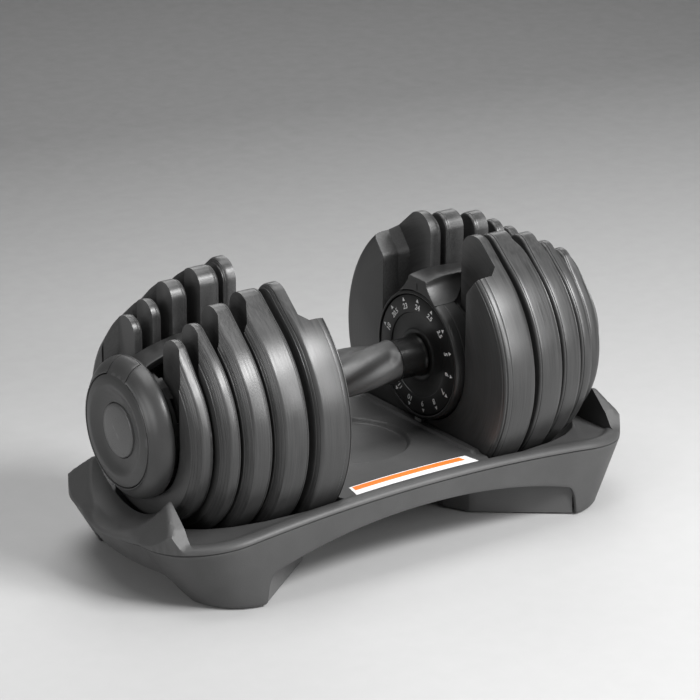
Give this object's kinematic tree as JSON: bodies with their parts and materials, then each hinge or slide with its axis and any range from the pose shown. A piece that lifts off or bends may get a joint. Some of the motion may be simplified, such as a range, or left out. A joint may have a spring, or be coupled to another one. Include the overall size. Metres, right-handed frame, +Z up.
{
  "type": "adjustable dumbbell",
  "caption": "Selector-type adjustable dumbbell with slotted plates, number dials and end knobs, seated in a plastic cradle.",
  "frame": {"origin": "on the floor under the middle of the cradle", "axes": "+X along the handle, +Z up, the cradle's front faces -Y"},
  "size_m": [0.434, 0.1998, 0.2127],
  "materials": {
    "cradle_plastic": "fine moulded texture",
    "plate_coat": "satin black coating",
    "housing_plastic": "satin",
    "dial_plastic": "satin with printed numbers",
    "knob_plastic": "satin",
    "grip_rubber": "matte moulded rubber",
    "steel": "turned",
    "pad_rubber": "matte",
    "label_film": "printed film"
  },
  "bodies": {
    "cradle": {"cradle_tray": "cradle_plastic", "cradle_skirt": "cradle_plastic", "deck_label": "label_film", "foot_pad_front_left": "pad_rubber", "foot_pad_front_right": "pad_rubber", "foot_pad_back_left": "pad_rubber", "foot_pad_back_right": "pad_rubber"},
    "handle": {"handle_rod": "steel", "grip_sleeve": "grip_rubber", "grip_collar_right": "housing_plastic", "inner_housing_right": "housing_plastic", "bridge_right": "housing_plastic", "end_screw_right": "steel", "lock_spring_right": "steel", "grip_collar_left": "housing_plastic", "inner_housing_left": "housing_plastic", "bridge_left": "housing_plastic", "end_screw_left": "steel", "lock_spring_left": "steel"},
    "selector_right": {"number_dial_right": "dial_plastic", "selector_sleeve_right": "steel", "selector_disc_a_right": "housing_plastic", "selector_disc_b_right": "housing_plastic", "selector_disc_c_right": "housing_plastic", "selector_disc_d_right": "housing_plastic", "selector_disc_e_right": "housing_plastic", "knob_ring_right": "knob_plastic", "knob_face_right": "knob_plastic", "knob_badge_right": "knob_plastic"},
    "lock_right": {"lock_slider_right": "steel"},
    "plate_a_right": {"plate_a_right": "plate_coat"},
    "plate_b_right": {"plate_b_right": "plate_coat"},
    "plate_c_right": {"plate_c_right": "plate_coat"},
    "plate_d_right": {"plate_d_right": "plate_coat"},
    "plate_e_right": {"plate_e_right": "plate_coat"},
    "selector_left": {"number_dial_left": "dial_plastic", "selector_sleeve_left": "steel", "selector_disc_a_left": "housing_plastic", "selector_disc_b_left": "housing_plastic", "selector_disc_c_left": "housing_plastic", "selector_disc_d_left": "housing_plastic", "selector_disc_e_left": "housing_plastic", "knob_ring_left": "knob_plastic", "knob_face_left": "knob_plastic", "knob_badge_left": "knob_plastic"},
    "lock_left": {"lock_slider_left": "steel"},
    "plate_a_left": {"plate_a_left": "plate_coat"},
    "plate_b_left": {"plate_b_left": "plate_coat"},
    "plate_c_left": {"plate_c_left": "plate_coat"},
    "plate_d_left": {"plate_d_left": "plate_coat"},
    "plate_e_left": {"plate_e_left": "plate_coat"}
  },
  "joints": [
    {"name": "dumbbell_lift", "type": "slide", "parent": "cradle", "child": "handle", "axis": [0, 0, 1], "range_m": [0, 0.25]},
    {"name": "selector_turn_right", "type": "hinge", "parent": "handle", "child": "selector_right", "pos_m": [0, 0, 0.115], "axis": [1, 0, 0], "continuous": true},
    {"name": "selector_turn_left", "type": "hinge", "parent": "handle", "child": "selector_left", "pos_m": [0, 0, 0.115], "axis": [1, 0, 0], "continuous": true},
    {"name": "lock_drop_right", "type": "slide", "parent": "handle", "child": "lock_right", "axis": [0, 0, -1], "range_m": [0, 0.0025]},
    {"name": "lock_drop_left", "type": "slide", "parent": "handle", "child": "lock_left", "axis": [0, 0, -1], "range_m": [0, 0.0025]},
    {"name": "plate_a_right_lift", "type": "slide", "parent": "cradle", "child": "plate_a_right", "axis": [0, 0, 1], "range_m": [0, 0.25]},
    {"name": "plate_b_right_lift", "type": "slide", "parent": "cradle", "child": "plate_b_right", "axis": [0, 0, 1], "range_m": [0, 0.25]},
    {"name": "plate_c_right_lift", "type": "slide", "parent": "cradle", "child": "plate_c_right", "axis": [0, 0, 1], "range_m": [0, 0.25]},
    {"name": "plate_d_right_lift", "type": "slide", "parent": "cradle", "child": "plate_d_right", "axis": [0, 0, 1], "range_m": [0, 0.25]},
    {"name": "plate_e_right_lift", "type": "slide", "parent": "cradle", "child": "plate_e_right", "axis": [0, 0, 1], "range_m": [0, 0.25]},
    {"name": "plate_a_left_lift", "type": "slide", "parent": "cradle", "child": "plate_a_left", "axis": [0, 0, 1], "range_m": [0, 0.25]},
    {"name": "plate_b_left_lift", "type": "slide", "parent": "cradle", "child": "plate_b_left", "axis": [0, 0, 1], "range_m": [0, 0.25]},
    {"name": "plate_c_left_lift", "type": "slide", "parent": "cradle", "child": "plate_c_left", "axis": [0, 0, 1], "range_m": [0, 0.25]},
    {"name": "plate_d_left_lift", "type": "slide", "parent": "cradle", "child": "plate_d_left", "axis": [0, 0, 1], "range_m": [0, 0.25]},
    {"name": "plate_e_left_lift", "type": "slide", "parent": "cradle", "child": "plate_e_left", "axis": [0, 0, 1], "range_m": [0, 0.25]}
  ],
  "couplings": [
    {"joint": "lock_drop_right", "follows": "dumbbell_lift", "ratio": 0.01},
    {"joint": "lock_drop_left", "follows": "dumbbell_lift", "ratio": 0.01},
    {"joint": "plate_a_right_lift", "follows": "dumbbell_lift", "ratio": 1},
    {"joint": "plate_b_right_lift", "follows": "dumbbell_lift", "ratio": 1},
    {"joint": "plate_c_right_lift", "follows": "dumbbell_lift", "ratio": 1},
    {"joint": "plate_d_right_lift", "follows": "dumbbell_lift", "ratio": 1},
    {"joint": "plate_e_right_lift", "follows": "dumbbell_lift", "ratio": 1},
    {"joint": "plate_a_left_lift", "follows": "dumbbell_lift", "ratio": 1},
    {"joint": "plate_b_left_lift", "follows": "dumbbell_lift", "ratio": 1},
    {"joint": "plate_c_left_lift", "follows": "dumbbell_lift", "ratio": 1},
    {"joint": "plate_d_left_lift", "follows": "dumbbell_lift", "ratio": 1},
    {"joint": "plate_e_left_lift", "follows": "dumbbell_lift", "ratio": 1}
  ]
}
